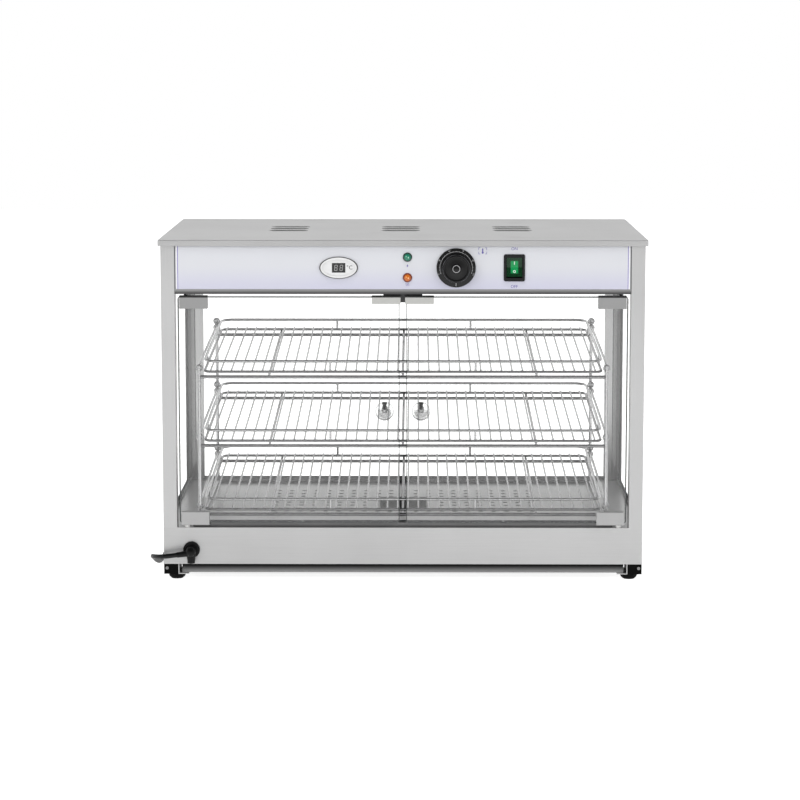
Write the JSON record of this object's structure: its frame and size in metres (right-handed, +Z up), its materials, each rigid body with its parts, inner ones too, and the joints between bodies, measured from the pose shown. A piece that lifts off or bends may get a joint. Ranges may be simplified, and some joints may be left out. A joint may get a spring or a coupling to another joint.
{
  "type": "heated countertop display case",
  "caption": "Glass-sided heated display case with two hinged doors, sloping wire shelves on a wire stand, a control panel in the header and vents in the lid.",
  "frame": {"origin": "on the ground, under the middle of the box that the case fills with its door knobs, leaving out the cord, its coil and the plug", "axes": "+X to the right as the user faces the doors, +Y from the doors towards the back, +Z up"},
  "size_m": [0.7181, 0.5501, 0.495],
  "materials": {
    "stainless": "fine brushed stainless sheet",
    "dark_steel": "satin",
    "panel": "satin printed foil",
    "chrome_wire": "bright",
    "clear_glass": "clear",
    "clear_ball": "clear moulded",
    "bright_metal": "polished",
    "black_plastic": "gloss",
    "black_matte": "matte",
    "display_face": "satin white face with a dark window",
    "lamp_green": "translucent",
    "lamp_orange": "translucent",
    "rocker_green": "translucent",
    "rubber": "matte",
    "cord_black": "smooth sheath",
    "white_nylon": "matte",
    "grey_seal": "matte",
    "copper_tube": "plain"
  },
  "bodies": {
    "case": {"lid": "stainless", "base_shell": "stainless", "floor_deck": "stainless", "water_tray": "stainless", "door_sill": "dark_steel", "bottom_pan": "stainless", "corner_blocks": "dark_steel", "foot_brackets": "stainless", "rubber_feet": "rubber", "base_bolts": "bright_metal", "front_posts": "stainless", "rear_posts": "stainless", "corner_beads": "stainless", "side_glass": "clear_glass", "rear_glass": "clear_glass", "glass_seats": "grey_seal", "header_rail": "dark_steel", "header_shell": "stainless", "ceiling_plate": "stainless", "control_panel": "panel", "display_bezel": "bright_metal", "display_module": "display_face", "power_lamp": "lamp_green", "heat_lamp": "lamp_orange", "thermostat_body": "black_matte", "thermostat_bulb": "copper_tube", "bulb_clip": "stainless", "switch_body": "black_plastic", "hinge_washers": "white_nylon", "magnetic_catch": "black_matte", "stand_uprights": "chrome_wire", "stand_rails": "chrome_wire", "stand_arms": "chrome_wire", "stand_eyes": "chrome_wire", "heater_element": "dark_steel", "heater_brackets": "stainless", "terminal_block": "white_nylon", "cable_gland": "black_matte", "power_cord": "cord_black", "cord_coil": "cord_black", "mains_plug": "black_matte"},
    "left_door": {"left_door_glass": "clear_glass", "left_hinge_blocks": "bright_metal", "left_strike_plate": "bright_metal", "left_knob_stem": "bright_metal", "left_ball_knob": "clear_ball"},
    "right_door": {"right_door_glass": "clear_glass", "right_hinge_blocks": "bright_metal", "right_strike_plate": "bright_metal", "right_knob_stem": "bright_metal", "right_ball_knob": "clear_ball"},
    "knob": {"thermostat_knob": "black_plastic", "knob_spindle": "bright_metal"},
    "rocker": {"switch_rocker": "rocker_green"},
    "top_shelf": {"top_shelf_grid": "chrome_wire", "top_shelf_rim": "chrome_wire"},
    "middle_shelf": {"middle_shelf_grid": "chrome_wire", "middle_shelf_rim": "chrome_wire"},
    "bottom_shelf": {"bottom_shelf_grid": "chrome_wire", "bottom_shelf_rim": "chrome_wire"}
  },
  "joints": [
    {"name": "left_door_hinge", "type": "hinge", "parent": "case", "child": "left_door", "pos_m": [-0.3115, -0.1725, 0.25], "axis": [0, 0, 1], "range_deg": [-105, 0]},
    {"name": "right_door_hinge", "type": "hinge", "parent": "case", "child": "right_door", "pos_m": [0.3115, -0.1725, 0.25], "axis": [0, 0, 1], "range_deg": [0, 105]},
    {"name": "thermostat_turn", "type": "hinge", "parent": "case", "child": "knob", "pos_m": [0.076, -0.19, 0.4555], "axis": [0, 1, 0], "range_deg": [0, 270]},
    {"name": "switch_rock", "type": "hinge", "parent": "case", "child": "rocker", "pos_m": [0.159, -0.1745, 0.4555], "axis": [1, 0, 0], "range_deg": [0, 16]},
    {"name": "top_shelf_lift", "type": "slide", "parent": "case", "child": "top_shelf", "axis": [0, 0, 1], "range_m": [0, 0.015]},
    {"name": "middle_shelf_lift", "type": "slide", "parent": "case", "child": "middle_shelf", "axis": [0, 0, 1], "range_m": [0, 0.015]},
    {"name": "bottom_shelf_lift", "type": "slide", "parent": "case", "child": "bottom_shelf", "axis": [0, 0, 1], "range_m": [0, 0.015]}
  ]
}
